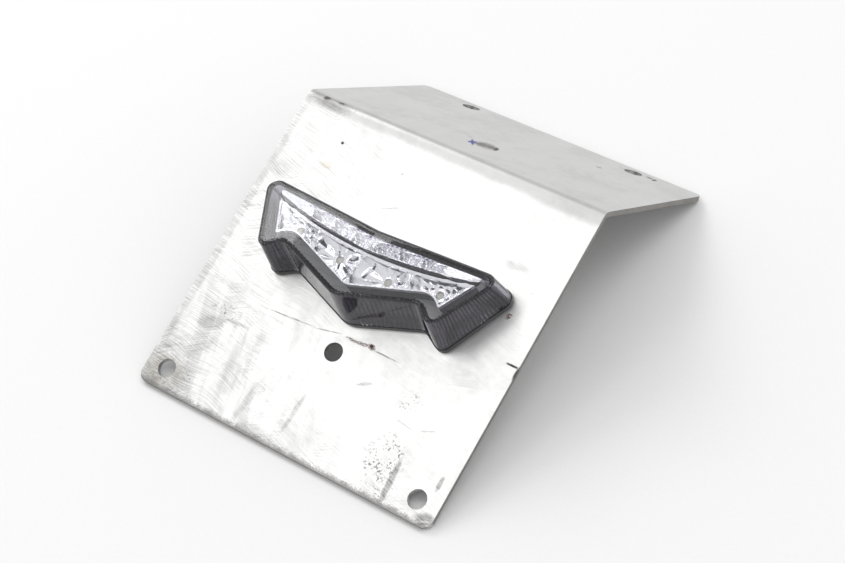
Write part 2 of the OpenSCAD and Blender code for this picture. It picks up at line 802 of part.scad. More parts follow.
module spring_washer(side) {
    color(zinc) difference() {
        ring(side, sheet_t + washer_t, spring_t, spring_d);
        on_lamp() translate([side * stud_x, 0, -sheet_t - washer_t - spring_t - over])
            translate([0, -spring_gap / 2, 0]) cube([spring_d, spring_gap, spring_t + 2 * over]);
    }
}

// Hexagon nut with both faces chamfered
module nut(side) {
    corner_d = nut_af / cos(30);
    reach = nut_h + over;
    wide = nut_af + 2 * reach / tan(nut_slope);
    color(zinc) on_lamp() translate([side * stud_x, 0, -sheet_t - washer_t - spring_t - nut_h]) difference() {
        intersection() {
            cylinder(h = nut_h, d = corner_d, $fn = 6);
            cylinder(h = reach, d1 = nut_af, d2 = wide);
            translate([0, 0, -over]) cylinder(h = reach, d2 = nut_af, d1 = wide);
        }
        translate([0, 0, -over]) cylinder(h = nut_h + 2 * over, d = stud_d + slip);
    }
}

// Rubber ring with a groove that holds the panel's edge
module cable_grommet() {
    neck = (cable_hole_d - grommet_gap) / 2;
    flange = grommet_d / 2;
    round_r = grommet_flange / 3;
    low = sheet_t + grommet_flange;
    color([0.12, 0.12, 0.12]) on_lamp() rotate_extrude() {
        translate([grommet_bore / 2, -low]) square([neck - grommet_bore / 2, low + grommet_flange]);
        for (z = [-low, 0]) {
            translate([grommet_bore / 2, z]) square([flange - round_r - grommet_bore / 2, grommet_flange]);
            translate([grommet_bore / 2, z + round_r])
                square([flange - grommet_bore / 2, grommet_flange - 2 * round_r]);
            for (s = [round_r, grommet_flange - round_r])
                translate([flange - round_r, z + s]) circle(round_r, $fn = 24);
        }
    }
}

bracket();
lamp_base();
lamp_lens();
reflector();
circuit_board();
for (i = [1:tail_count]) tail_led(i);
for (i = [1:4]) brake_led(i);
for (i = [1:3]) plate_led(i);
for (i = [1:3]) resistor(i);
diode();
board_screw(-1);  // board_screw_left
board_screw(1);  // board_screw_right
stud(-1);  // stud_left
stud(1);  // stud_right
washer(-1);  // washer_left
washer(1);  // washer_right
spring_washer(-1);  // spring_washer_left
spring_washer(1);  // spring_washer_right
nut(-1);  // nut_left
nut(1);  // nut_right
cable_grommet();
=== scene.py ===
import math

import bpy
import numpy as np
from mathutils import Matrix, Vector


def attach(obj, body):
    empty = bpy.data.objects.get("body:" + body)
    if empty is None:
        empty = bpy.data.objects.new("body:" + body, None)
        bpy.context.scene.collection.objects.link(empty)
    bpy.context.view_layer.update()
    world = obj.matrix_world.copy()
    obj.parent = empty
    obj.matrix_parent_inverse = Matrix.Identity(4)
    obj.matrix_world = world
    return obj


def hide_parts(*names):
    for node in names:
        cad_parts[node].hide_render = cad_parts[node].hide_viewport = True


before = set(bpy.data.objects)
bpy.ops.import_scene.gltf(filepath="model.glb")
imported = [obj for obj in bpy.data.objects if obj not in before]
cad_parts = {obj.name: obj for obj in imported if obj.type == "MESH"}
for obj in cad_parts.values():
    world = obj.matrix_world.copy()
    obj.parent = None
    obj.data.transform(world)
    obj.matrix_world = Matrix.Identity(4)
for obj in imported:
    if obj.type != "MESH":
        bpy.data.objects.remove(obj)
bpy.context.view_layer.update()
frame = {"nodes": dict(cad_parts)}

MM = 0.001

# Sheet, in millimetres
SHEET_T = 2.0
PANEL_LEN, FLANGE_LEN = 126.0, 84.0
BEND = math.radians(60)
LAMP_DOWN = 53.0
SHEET_ROUND, FASTENER_ROUND = 0.18, 0.06

# Lamp, in millimetres: corners of the right half of its foot and of its face, in the lamp's frame
FOOT = ((0, 11.5), (54, 13.5), (37.7, -17.8), (28.2, -12.4), (0, -22.4))
FACE = ((0, 10.4), (51.7, 13.1), (37, -14.8), (29.4, -8.2), (0, -18.4))
CORNER_R = (4.0, 3.6, 4.0, 9.0)
FOOT_H, LEDGE, WALL = 2.3, 0.25, 2.0
FACE_H, FACE_RISE, FACE_FALL, FACE_END = 19.6, 0.155, 2.0, 51.7
CREASE_Y, CREASE_BOW, FOLD_SOFT, FOLD_REACH, GROOVE, GROOVE_HALF = 2.5, 9.1, 0.12, 1.5, 0.12, 0.45
RIM_H, RIM_END_H, RIM_R = 16.8, 15.6, 1.2
FLUTE_PITCH, FLUTE_DEPTH, FLUTE_STEPS = 1.6, 0.35, 8
BOARD_BOTTOM, BOARD_TOP, LED_H = 7.0, 8.6, 1.2
LED_TOP = BOARD_TOP + LED_H
DECK_DROP, STRIP_Z, SHELL_T = 4.2, 12.6, 1.1
RIM_INSET, RIM_INSET_TOP, MOUTH_LIP, CREASE_BAND, RIB_T, RIB_H = 5.4, 2.5, 0.7, 2.4, 1.0, 0.5
REFLECTOR_R = RIM_INSET - 2
BOWLS = ((-30.5, -0.6, 10.0), (-10.6, -4.2, 11.5), (10.6, -4.2, 11.5), (30.5, -0.6, 10.0))
FACET_X, FACET_SLOPE, FACET_LEN = 42.0, math.radians(25), 7.0
TAIL_COUNT, TAIL_PITCH, POCKET_W, POCKET_B, POCKET_LOW = 6, 9.6, 8.8, 3.2, 2.9
STUD_X, STUD_D, STUD_LEN, HEAD_AF, HEAD_FLOOR, HEAD_H = 27.0, 5.0, 13.0, 8.0, 2.5, 3.4
THREAD_PITCH, THREAD_DEPTH, TIP_CHAMFER, HEAD_CHAMFER = 0.8, 0.44, 0.7, 0.15

# Fine forms of the reflector, in millimetres: cushions in the outer bowls, fans of folds in the inner ones,
# windows over the diodes, the pyramid between the two bowls on the left, creases from end to end, and the
# facets of the pockets and the low pyramids on the strip
OUTER_BOWL_X = 20
CUSHION_H, CUSHION_PITCH = 0.55, (2.9, 2.7)
FAN_H, FAN_FOLDS = 0.55, 5
WINDOW_R, WINDOW_EDGE, WINDOW_GAP = 1.1, 0.4, 0.12
WEDGE, WEDGE_HALF, WEDGE_H = (-19, -2.5), (2.4, 3.2), 2.2
CREASES = ((-12, -2, -9, -8), (4, -1, 2.5, -6.5), (13, -1, 17, -6), (20, 0, 22, -4))
CREASE_HALF, CREASE_H = 0.7, 0.7
POCKET_FACET_H, PYRAMID_H, PYRAMID_PITCH = 0.4, 0.3, (1.9, 1.7)
BOWL_ROWS, STRIP_ROWS = 42, 30

# Diodes, in millimetres: widths of their windows, and the row that lights the plate
BRAKE_LED_W, TAIL_LED_W, PLATE_LED_W = 3.5, 2.8, 3.5
PLATE_LED_COUNT, PLATE_LED_PITCH, PLATE_LED_Y = 3, 8.0, -13.0
DOME_SHARE, DOME_GAP, DOME_H, DOME_SINK = 0.4, 0.03, 0.27, 0.29

# Slope of the panel, and the sharp outer corner of the fold in the row frame
LEAN = math.atan2(
    FLANGE_LEN * math.sin(BEND) - SHEET_T * (1 - math.cos(BEND)),
    PANEL_LEN + FLANGE_LEN * math.cos(BEND) - SHEET_T * math.sin(BEND),
)
RIDGE = Vector((
    0,
    (PANEL_LEN * math.cos(LEAN) - FLANGE_LEN * math.cos(BEND - LEAN)) / 2,
    PANEL_LEN * math.sin(LEAN) + SHEET_T * math.cos(LEAN),
))
# From millimetres in the panel's frame to metres in the row frame, and the same from the lamp's frame
ON_PANEL = Matrix.Scale(MM, 4) @ Matrix.Translation(RIDGE) @ Matrix.Rotation(LEAN, 4, "X")
ON_LAMP = ON_PANEL @ Matrix.Translation((0, -LAMP_DOWN, 0))
LAMP_ORIGIN = ON_LAMP.translation / MM

# Camera, solved from the photograph: lens, sensor, place and turns, in millimetres and degrees
LENS, SENSOR = 80.603, 36
CAMERA_PLACE, CAMERA_TURNS = (315.86, -363.41, 518.92), (42.7803, 5.3773, 35.387)
# Lights: name, place and size in metres, and power in watts; and the strength of the white surroundings
SOFTBOXES = (
    ("key_softbox", (-1.15, 0.45, 1.15), 0.8, 7),
    ("glare_softbox", (-0.7, -0.62, 1.45), 0.5, 1.7),
    ("overhead_softbox", (0.45, 0.15, 1.4), 0.7, 3.4),
)
SURROUNDINGS, FLOOR_HALF = 0.83, 3.0

# Colours
PAPER = (0.8, 0.8, 0.8, 1), (0.84, 0.84, 0.84, 1)
MILL_FINISH = (0.62, 0.62, 0.615, 1), (0.7, 0.7, 0.695, 1)
SANDED = (0.36, 0.36, 0.355, 1), (0.88, 0.88, 0.87, 1)
CUT_EDGE = (0.12, 0.11, 0.1, 1), (0.34, 0.32, 0.3, 1)
# Painted shade along the lower edge of the panel, and painted shade on the underside of the sheet
LOW_EDGE_SHADE, UNDERSIDE_SHADE = (0.13, 0.125, 0.12, 1), (0.2, 0.2, 0.195, 1)
# Painted shade on the lens: its walls, darker in the flutes, and its crown a little darker than its face
PAINTED_WALL_SHADE = (0.27, 0.26, 0.31, 1), (0.07, 0.06, 0.09, 1)
PAINTED_CROWN_SHADE, SMOKED_FACE = (0.86, 0.86, 0.89, 1), (0.94, 0.94, 0.96, 1)
# Painted shade on the reflector: its skirt and underside, and the rib under the crease
CHROME, PAINTED_SKIRT_SHADE, PAINTED_RIB_SHADE = (0.95, 0.95, 0.97, 1), (0.1, 0.095, 0.12, 1), (0.02, 0.017, 0.028, 1)
ZINC, ZINC_SPOT = ((0.62, 0.66, 0.72, 1), (0.74, 0.71, 0.62, 1)), (0.4, 0.39, 0.37, 1)
MOULDED = (0.012, 0.012, 0.014, 1), (0.024, 0.024, 0.026, 1)
RESIST, FIBRE = ((0.62, 0.63, 0.62, 1), (0.5, 0.53, 0.48, 1)), ((0.42, 0.44, 0.3, 1), (0.5, 0.5, 0.36, 1))
PACKAGE, SILVERED = ((0.84, 0.84, 0.8, 1), (0.92, 0.92, 0.89, 1)), (0.8, 0.8, 0.82, 1)
CHIP = (0.022, 0.022, 0.022, 1), (0.04, 0.04, 0.04, 1)
PHOSPHOR = (0.9, 0.88, 0.76, 1), (0.95, 0.94, 0.86, 1)
RUBBER = (0.018, 0.018, 0.018, 1), (0.07, 0.07, 0.068, 1)


def make_camera():
    data = bpy.data.cameras.new("camera")
    data.sensor_width, data.lens = SENSOR, LENS
    data.clip_start, data.clip_end = 0.01, 20
    camera = bpy.data.objects.new("camera", data)
    camera.location = Vector(CAMERA_PLACE) * MM
    camera.rotation_euler = [math.radians(a) for a in CAMERA_TURNS]
    bpy.context.scene.collection.objects.link(camera)
    bpy.context.scene.camera = camera


def make_lights():
    scene = bpy.context.scene
    scene.view_settings.view_transform = "Standard"
    world = bpy.data.worlds.new("studio")
    scene.world = world
    world.use_nodes = True
    background = world.node_tree.nodes["Background"].inputs
    background["Color"].default_value = (1, 1, 1, 1)
    background["Strength"].default_value = SURROUNDINGS
    for name, place, size, power in SOFTBOXES:
        data = bpy.data.lights.new(name, "AREA")
        data.size, data.energy = size, power
        light = bpy.data.objects.new(name, data)
        light.location = place
        light.rotation_euler = (-Vector(place)).to_track_quat("-Z", "Y").to_euler()
        scene.collection.objects.link(light)


# Small language for node trees: each call adds a node and returns its first output
class Shader:
    def __init__(self, name):
        self.material = bpy.data.materials.new(name)
        self.material.use_nodes = True
        self.tree = self.material.node_tree
        self.bsdf = self.tree.nodes["Principled BSDF"]

    def node(self, kind, inputs=(), **settings):
        n = self.tree.nodes.new("ShaderNode" + kind)
        for key, value in settings.items():
            setattr(n, key, value)
        for socket, value in dict(inputs).items():
            self.set(n.inputs[socket], value)
        return n

    def set(self, socket, value):
        if isinstance(value, bpy.types.NodeSocket):
            self.tree.links.new(value, socket)
        else:
            socket.default_value = value

    def math(self, op, a, b=0.0, c=0.0):
        return self.node("Math", {0: a, 1: b, 2: c}, operation=op).outputs[0]

    def size(self, a):
        return self.math("ABSOLUTE", a)

    def less(self, a, b):
        return self.math("SUBTRACT", a, b)

    def most(self, a, b):
        return self.math("MAXIMUM", a, b)

    def add(self, *terms):
        total = terms[0]
        for term in terms[1:]:
            total = self.math("ADD", total, term)
        return total

    def mul(self, *terms):
        total = terms[0]
        for term in terms[1:]:
            total = self.math("MULTIPLY", total, term)
        return total

    def split(self, vector):
        outputs = self.node("SeparateXYZ", {0: vector}).outputs
        return outputs[0], outputs[1], outputs[2]

    # Maps x smoothly from one range to another, without overshoot
    def ramp(self, x, lo, hi, out_lo=0.0, out_hi=1.0):
        return self.node("MapRange", {
            "Value": x, "From Min": lo, "From Max": hi, "To Min": out_lo, "To Max": out_hi,
        }, interpolation_type="SMOOTHSTEP").outputs["Result"]

    def mix(self, factor, a, b, blend="MIX"):
        return self.node("Mix", {0: factor, 6: a, 7: b}, data_type="RGBA", blend_type=blend).outputs[2]

    def grey(self, value):
        return self.node("CombineColor", {0: value, 1: value, 2: value}).outputs[0]

    def noise(self, vector, scale, detail=3.0, rough=0.55):
        return self.node("TexNoise", {
            "Vector": vector, "Scale": scale, "Detail": detail, "Roughness": rough,
        }).outputs["Fac"]

    # Noise about zero
    def jitter(self, *noise):
        return self.add(self.noise(*noise), -0.5)

    # Coordinates in millimetres, in the frame turned about X at a place
    def coordinates(self, place=(0, 0, 0), turn=0.0):
        source = self.node("TexCoord").outputs["Object"]
        return self.node("Mapping", {
            "Vector": source, "Location": Vector(place) * MM, "Rotation": (turn, 0, 0), "Scale": (MM, MM, MM),
        }, vector_type="TEXTURE").outputs["Vector"]

    # The same coordinates turned about Z and stretched
    def stretched(self, vector, turn, scale):
        turned = self.node("VectorRotate", {"Vector": vector, "Angle": math.radians(turn)},
                           rotation_type="Z_AXIS").outputs["Vector"]
        return self.node("Mapping", {"Vector": turned, "Scale": scale}).outputs["Vector"]

    def normal(self):
        return self.node("NewGeometry").outputs["True Normal"]

    # How far a face looks out of the panel: 1 when it's parallel to it
    def facing(self):
        return self.node("VectorMath", {0: self.normal(), 1: (0, -math.sin(LEAN), math.cos(LEAN))},
                         operation="DOT_PRODUCT").outputs["Value"]

    def bump(self, height, distance):
        n = self.node("Bump", {"Height": height, "Distance": distance * MM, "Strength": 1.0})
        self.set(self.bsdf.inputs["Normal"], n.outputs["Normal"])

    def principled(self, **values):
        for key, value in values.items():
            self.set(self.bsdf.inputs[key.replace("_", " ")], value)


def link(name, mesh, material):
    piece = bpy.data.objects.new(name, mesh)
    bpy.context.scene.collection.objects.link(piece)
    mesh.materials.clear()
    mesh.materials.append(material)
    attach(piece, "root")
    return piece


def dress(node, material):
    mesh = frame["nodes"][node].data
    for i in range(max(len(mesh.materials), 1)):
        if i < len(mesh.materials):
            mesh.materials[i] = material
        else:
            mesh.materials.append(material)


# Small rounds on the sharp edges of a solid
def soften(node, width):
    bevel = frame["nodes"][node].modifiers.new("edges", "BEVEL")
    bevel.width, bevel.segments = width * MM, 2
    bevel.limit_method, bevel.angle_limit = "ANGLE", math.radians(50)
    bevel.harden_normals = False


def make_floor():
    s = Shader("paper_floor")
    grain = s.noise(s.coordinates(), 0.8, 4)
    s.principled(Base_Color=s.mix(grain, *PAPER), Roughness=0.7)
    s.bump(grain, 0.02)
    mesh = bpy.data.meshes.new("floor")
    r = FLOOR_HALF
    mesh.from_pydata([(-r, -r, 0), (r, -r, 0), (r, r, 0), (-r, r, 0)], [], [(0, 1, 2, 3)])
    mesh.materials.append(s.material)
    floor = bpy.data.objects.new("floor", mesh)
    bpy.context.scene.collection.objects.link(floor)


# Marks on the panel, in its frame: kind, x, y, half sizes, turn in degrees, and strength
PANEL_MARKS = (
    ("dark", -57, -0.7, 1.5, 0.9, 10, 1.0), ("dark", -50.2, -0.4, 1.3, 0.6, 10, 0.8),
    ("dark", -41, -14.5, 0.7, 0.6, 0, 1.0), ("grey", -54, -1.5, 10, 3.4, -4, 0.75),
    ("tan", -42, -24.5, 3.2, 1.8, 10, 0.3), ("grey", -12.5, -16.5, 0.7, 0.5, 0, 0.5),
    ("grey", -10, -30, 5.0, 0.3, 24, 0.35), ("grey", 45, -30.5, 5, 1.6, 6, 0.3),
    ("grey", -58, -32, 5, 4, 0, 0.3), ("grey", -23, -81.5, 12, 0.28, 4, 0.75),
    ("grey", -6, -79.8, 6, 0.28, 12, 0.75), ("rust", 4.5, -79, 3.2, 0.6, 0, 1.0),
    ("rust", 8.5, -78.7, 2.6, 0.7, 5, 1.0), ("rust", 12.2, -78.3, 1.7, 1.1, -10, 1.0),
    ("dark", 12, -78, 0.9, 0.7, 0, 1.0), ("grey", 18.5, -79, 6.0, 0.3, 0, 0.8),
    ("rust", 52, -47.5, 1.5, 0.8, 20, 1.0), ("rust", 51.6, -48.6, 0.8, 0.9, 60, 0.9),
    ("dark", 52.3, -48.2, 0.7, 0.4, 0, 0.9), ("dark", 62.5, -62.9, 2.8, 0.45, 0, 1.0),
    ("dark", 64.9, -65, 0.5, 2.4, 0, 0.9), ("grey", 17, -91, 3.0, 0.7, 28, 0.55),
    ("grey", 47, -96, 3.0, 0.35, 24, 0.5), ("grey", 38, -97.5, 4.0, 0.3, -8, 0.5),
    ("speck", -46, -90, 8, 3.5, 0, 0.9), ("grey", -40, -92, 5.5, 0.7, 3, 0.45),
    ("grey", -50, -96, 6, 3, 20, 0.5), ("grey", -52, -105, 9, 4, 24, 0.3),
    ("grey", -55, -110, 8, 3, 14, 0.5), ("grey", -18, -109, 2.2, 3, 10, 0.3),
    ("grey", -30, -108, 6, 9, 8, 0.22), ("grey", -1.5, -111, 1.1, 9, -4, 0.45),
    ("grey", 44, -117, 1.3, 8.5, 3, 0.9), ("speck", 38, -112, 9, 12, 0, 0.9),
    ("speck", 43, -120, 4, 6, 0, 0.8), ("grey", 60.5, -110, 1.0, 2.8, 0, 0.9),
    ("grey", 62, -123, 4, 2.4, 12, 0.8), ("tan", -57, -119, 8, 6, 0, 0.12),
    ("grey", -57, -119.5, 11, 9, 0, 0.75), ("grey", -20, -113, 1.6, 11, -8, 0.35),
    ("speck", -47, -117, 3, 3.4, 0, 0.8), ("speck", -58, -123, 6, 2.5, 0, 0.8),
    ("speck", 36, -90, 6, 5, 0, 0.6), ("speck", -42, -92, 8, 2, 0, 0.6),
    ("grey", -63.5, -60, 2.0, 70, 0, 0.35), ("grey", -11, -124, 8, 3, 0, 0.45),
)
# Marks on the flange, in its frame, with y away from the fold
FLANGE_MARKS = (
    ("blue", -3.7, 20.6, 5.2, 0.7, -59, 1.0), ("blue", -3.9, 20.8, 0.7, 3.2, 0, 1.0),
    ("blue", -3.7, 20.6, 1.4, 2.2, -20, 1.0), ("dark", -0.8, 22.6, 2.4, 3.6, 17, 0.7),
    ("grey", 0.8, 23.6, 4.2, 5.6, 17, 1.0), ("dark", 2.6, 24.0, 2.2, 2.8, 20, 0.7),
    ("dark", 4.6, 24.4, 1.1, 3.4, 20, 1.0), ("grey", -8.5, 27, 1.0, 0.7, 0, 0.5),
    ("grey", -3, 35, 2.6, 0.6, 10, 0.35), ("dark", 44.4, 78.2, 1.7, 0.9, 0, 0.9),
    ("dark", 46.8, 77.6, 0.8, 2.2, 0, 0.9), ("grey", 30, 62, 1.4, 1.2, 0, 0.7),
    ("grey", 33, 76, 2.0, 0.6, 0, 0.4),
)
# Colour of each kind of mark, its roughness, and how much of the metal shows through it
MARK_LOOKS = {
    "dark": ((0.03, 0.025, 0.02, 1), 0.6, 0.1), "grey": ((0.17, 0.165, 0.155, 1), 0.5, 0.6),
    "speck": ((0.2, 0.19, 0.18, 1), 0.55, 0.6), "rust": ((0.13, 0.065, 0.05, 1), 0.85, 0.1),
    "tan": ((0.52, 0.42, 0.3, 1), 0.6, 0.4), "blue": ((0.01, 0.03, 0.22, 1), 0.5, 0.0),
}


# Mask of all marks of one kind: ellipses with ragged edges
def marks_mask(s, at, ragged, kind, marks, gate):
    total = None
    for what, x, y, rx, ry, turn, strength in marks:
        if what != kind:
            continue
        local = s.node("Mapping", {
            "Vector": at, "Location": (x, y, 0), "Rotation": (0, 0, math.radians(turn)),
            "Scale": (rx, ry, 1e4),
        }, vector_type="TEXTURE").outputs["Vector"]
        reach = s.node("VectorMath", {0: local}, operation="LENGTH").outputs["Value"]
        mask = s.ramp(s.add(reach, ragged), 0.55, 1.25, strength, 0.0)
        total = mask if total is None else s.most(total, mask)
    return s.mul(total, gate) if total is not None else None


def steel_material():
    s = Shader("sanded_stainless")
    at = s.coordinates(RIDGE, LEAN)
    on_flange = s.coordinates(RIDGE, LEAN - BEND)
    x, y, z = s.split(at)
    cloud = s.noise(at, 0.045, 4, 0.6)
    cloud_fine = s.noise(at, 0.25, 5, 0.65)
    # Sanding strokes along the fold, which bend a little, with crossing strokes in patches
    wave = s.node("CombineXYZ", {"Y": s.mul(s.jitter(at, 0.018, 2), 16.0)}).outputs[0]
    swept = s.node("VectorMath", {0: at, 1: wave}, operation="ADD").outputs["Vector"]
    long = s.noise(s.stretched(swept, 11, (0.07, 3.2, 3.2)), 1.0, 5, 0.75)
    cross = s.jitter(s.stretched(swept, -28, (0.06, 3.0, 3.0)), 1.0, 4, 0.7)
    steep = s.jitter(s.stretched(swept, 58, (0.05, 2.6, 2.6)), 1.0, 4, 0.7)
    crossing = s.ramp(s.noise(at, 0.05, 2), 0.5, 0.62)
    steeper = s.ramp(s.noise(at, 0.034, 2), 0.55, 0.68)
    strokes = s.add(long, s.mul(cross, crossing, 0.9), s.mul(steep, steeper, 0.4))
    # The sanding stops short of the fold along a wandering line, and the rest is plain mill finish
    border = s.add(y, s.mul(s.jitter(at, 0.07, 2), 2.6), s.ramp(x, 20, 60, 0, 0.8))
    on_top = s.ramp(z, -1.0, -0.6)
    sanded = s.mul(s.ramp(s.add(border, s.mul(s.jitter(at, 2.2, 4, 0.8), 5.0)), -6.6, -3.6, 1, 0), on_top)
    mill = s.noise(s.stretched(at, 0, (0.3, 1.2, 1.2)), 1.0, 4, 0.6)
    # The strokes are plainest on the left and at the lower edge
    plain_left = s.ramp(s.add(x, s.mul(cloud, 40)), -35, 25, 0.72, 0.15)
    plainest = s.most(plain_left, s.ramp(y, -123, -98, 0.5, 0.15))
    bright = s.less(1.0, s.mul(s.ramp(strokes, 0.3, 0.66, 1, 0), plainest))
    tone = s.mix(sanded, s.mix(mill, *MILL_FINISH), s.mix(bright, *SANDED))
    # Dull clouds and bands, a dull line along the edge of the sanding, and painted shade on the curve of the
    # fold
    dull = s.ramp(s.add(s.mul(cloud, 0.6), s.mul(cloud_fine, 0.4)), 0.36, 0.56, 0.9, 1.0)
    bands = s.ramp(s.noise(s.stretched(at, -14, (0.13, 0.02, 0.02)), 1.0, 3, 0.6), 0.42, 0.62)
    bands = s.mul(bands, s.ramp(y, -95, -70, 0.2, 0.03), s.ramp(x, -20, 30, 1, 0.4))
    dull = s.mul(dull, s.less(1.0, bands))
    dull = s.mul(dull, s.ramp(s.size(s.add(border, 3.0)), 1.0, 3.6, 0.9, 1.0))
    # Painted shade on the curve of the fold, which hides the bright reflection of the bend
    dull = s.mul(dull, s.ramp(s.size(s.add(y, 0.9)), 0.3, 1.9, 0.86, 1.0))
    colour = s.mix(1.0, tone, s.grey(dull), "MULTIPLY")
    rough = s.add(s.mul(s.ramp(strokes, 0.3, 0.7, 0.12, 0.0), sanded), s.mul(sanded, -0.06), 0.4)
    # Cut edges: dull and darker than the faces
    nx, ny, nz = s.split(s.normal())
    below_flange = BEND - LEAN
    low_end = s.add(s.mul(ny, -math.cos(LEAN)), s.mul(nz, -math.sin(LEAN)))
    far_end = s.add(s.mul(ny, math.cos(below_flange)), s.mul(nz, -math.sin(below_flange)))
    low_end = s.mul(low_end, s.ramp(y, -124, -123, 1, 0))
    far_end = s.mul(far_end, s.ramp(y, 20, 21))
    cut = s.ramp(s.most(s.mul(s.size(nx), 0.985), s.most(low_end, far_end)), 0.93, 0.99)
    inside = s.mul(s.ramp(s.size(x), 63, 64, 1, 0), s.ramp(y, -124, -123), s.ramp(y, 20, 21, 1, 0))
    cut = s.mul(cut, s.less(1.0, s.mul(inside, 0.5)))
    colour = s.mix(s.mul(cut, 0.85), colour, s.mix(cloud_fine, *CUT_EDGE))
    rough = s.math("MULTIPLY_ADD", cut, 0.2, rough)
    # Dirt that fades up from the lower edge, in grains
    # Painted shade along the lower edge, where the sheet stands on the floor: in grains on the face near the
    # edge, and low on the cut edge
    grains = s.add(s.noise(at, 1.7, 4, 0.75), s.mul(s.add(cloud_fine, -0.5), 0.6))
    shade_at_low_edge = s.mul(s.ramp(s.add(y, s.mul(grains, 5.5)), -122.8, -120.6, 0.72, 0.0), s.ramp(z, -1.6, -1.2))
    shade_at_low_edge = s.most(shade_at_low_edge, s.mul(s.ramp(y, -125.8, -125.2, 0.85, 0.0), s.ramp(z, -2.0, -1.0)))
    colour = s.mix(shade_at_low_edge, colour, LOW_EDGE_SHADE)
    metal = s.math("MULTIPLY_ADD", shade_at_low_edge, -0.4, 1.0)
    # Painted shade on the underside: painted dark to deepen the shade under the bracket
    colour = s.mix(s.ramp(s.facing(), -0.6, -0.4, 0.9, 0.0), colour, UNDERSIDE_SHADE)
    ragged = s.mul(s.jitter(at, 1.1, 4, 0.7), 1.1)
    flecks = s.ramp(s.add(s.noise(at, 1.1, 4, 0.65), s.mul(s.add(cloud_fine, -0.5), 0.5)), 0.55, 0.62)
    crumbs = s.ramp(s.noise(at, 1.9, 3, 0.7), 0.44, 0.52)
    scuffs = s.ramp(s.add(strokes, s.mul(cloud_fine, 0.5)), 0.55, 0.95, 1.0, 0.35)
    textures = {"speck": flecks, "rust": crumbs, "grey": scuffs}
    flange_top = s.mul(s.ramp(s.split(on_flange)[2], -1.0, -0.6), s.ramp(y, 2, 3))
    for kind, (paint, dullness, shine) in MARK_LOOKS.items():
        mask = marks_mask(s, at, ragged, kind, PANEL_MARKS, on_top)
        on_flange_mask = marks_mask(s, on_flange, ragged, kind, FLANGE_MARKS, flange_top)
        if mask is None:
            mask = on_flange_mask
        elif on_flange_mask is not None:
            mask = s.most(mask, on_flange_mask)
        if kind in textures:
            mask = s.mul(mask, textures[kind])
        colour = s.mix(mask, colour, paint)
        rough = s.math("MULTIPLY_ADD", mask, s.less(dullness, rough), rough)
        metal = s.math("MULTIPLY_ADD", mask, s.less(shine, metal), metal)
    across = s.node("CombineXYZ", {"Y": math.cos(LEAN), "Z": math.sin(LEAN)}).outputs[0]
    s.principled(Base_Color=colour, Metallic=metal, Roughness=rough, Anisotropic=s.mul(sanded, 0.6),
                 Tangent=across)
    s.bump(s.add(s.mul(strokes, sanded), s.mul(mill, 0.3)), 0.012)
    return s.material


# Smoked plastic: painted shade makes its walls darker and a little hazy, darker still in the flutes, and its
# crown a little darker than its face
def lens_material():
    s = Shader("smoked_lens")
    tilt = s.size(s.facing())
    face = s.ramp(tilt, 0.75, 0.97)
    flute = s.node("Attribute", attribute_name="flute").outputs["Fac"]
    wall = s.mix(flute, *PAINTED_WALL_SHADE)
    clear = s.mix(s.ramp(tilt, 0.96, 0.985), PAINTED_CROWN_SHADE, SMOKED_FACE)
    s.principled(Base_Color=s.mix(face, wall, clear), Roughness=0.02, IOR=1.46,
                 Transmission_Weight=s.ramp(face, 0, 1, 0.9, 1.0), Specular_IOR_Level=0.26)
    s.bump(s.noise(s.coordinates(RIDGE, LEAN), 0.12, 2), 0.03)
    return s.material


# Plating over the bowls, the deck and the strip; the skirt and the underside are painted dark plastic, as
# painted shade
def chrome_material():
    s = Shader("vacuum_metallised")
    peel = s.noise(s.coordinates(RIDGE, LEAN), 1.2, 3)
    up = s.facing()
    x, y, z = s.split(s.coordinates(LAMP_ORIGIN, LEAN))
    crease = s.math("MULTIPLY_ADD", s.mul(x, x), CREASE_BOW / FOOT[1][0] ** 2, CREASE_Y)
    below = s.less(crease, y)
    deck = FACE_H - DECK_DROP
    steep = s.mul(s.ramp(up, 0.3, 0.35, 1, 0), s.ramp(below, 1.3, 1.4))
    low = s.ramp(s.math("MULTIPLY_ADD", y, FACE_RISE, z), deck - 1.7, deck - 1.6, 1, 0)
    painted_shade = s.most(s.mul(steep, low), s.ramp(up, -0.3, -0.2, 1, 0))
    # The rib under the crease is painted dark, as painted shade for the dark band along the crease
    past_rib = s.ramp(below, RIB_T + 0.3, RIB_T + 0.4, 1, 0)
    rib = s.mul(s.ramp(below, -0.35, -0.3), past_rib, s.ramp(z, 12.9, 13.0))
    painted_shade = s.most(painted_shade, rib)
    s.principled(Base_Color=s.mix(painted_shade, CHROME, s.mix(rib, PAINTED_SKIRT_SHADE, PAINTED_RIB_SHADE)),
                 Metallic=s.less(1.0, painted_shade), Roughness=s.ramp(peel, 0.3, 0.7, 0.1, 0.2))
    s.bump(peel, 0.03)
    return s.material


# Outline of the lamp, as in its solids: corners of its right half, with rounded corners of their own radii
def unit(v):
    return v / np.linalg.norm(v)


def moved(p, q, d):
    u = unit(q - p)
    s = d * np.array((u[1], -u[0]))
    return p + s, q + s


def meet(a, b):
    u, v, w = a[1] - a[0], b[1] - b[0], b[0] - a[0]
    return a[0] + u * (w[0] * v[1] - w[1] * v[0]) / (u[0] * v[1] - u[1] * v[0])


def inset(corners, d, dt):
    c = [np.array(p, float) for p in corners]
    top = moved(c[0], c[1], dt)
    side, tip, low = (moved(c[i], c[i + 1], d) for i in (1, 2, 3))
    axis = (np.zeros(2), np.array((0.0, 1.0)))
    return [meet(top, axis), meet(top, side), meet(side, tip), meet(tip, low), meet(low, axis)]


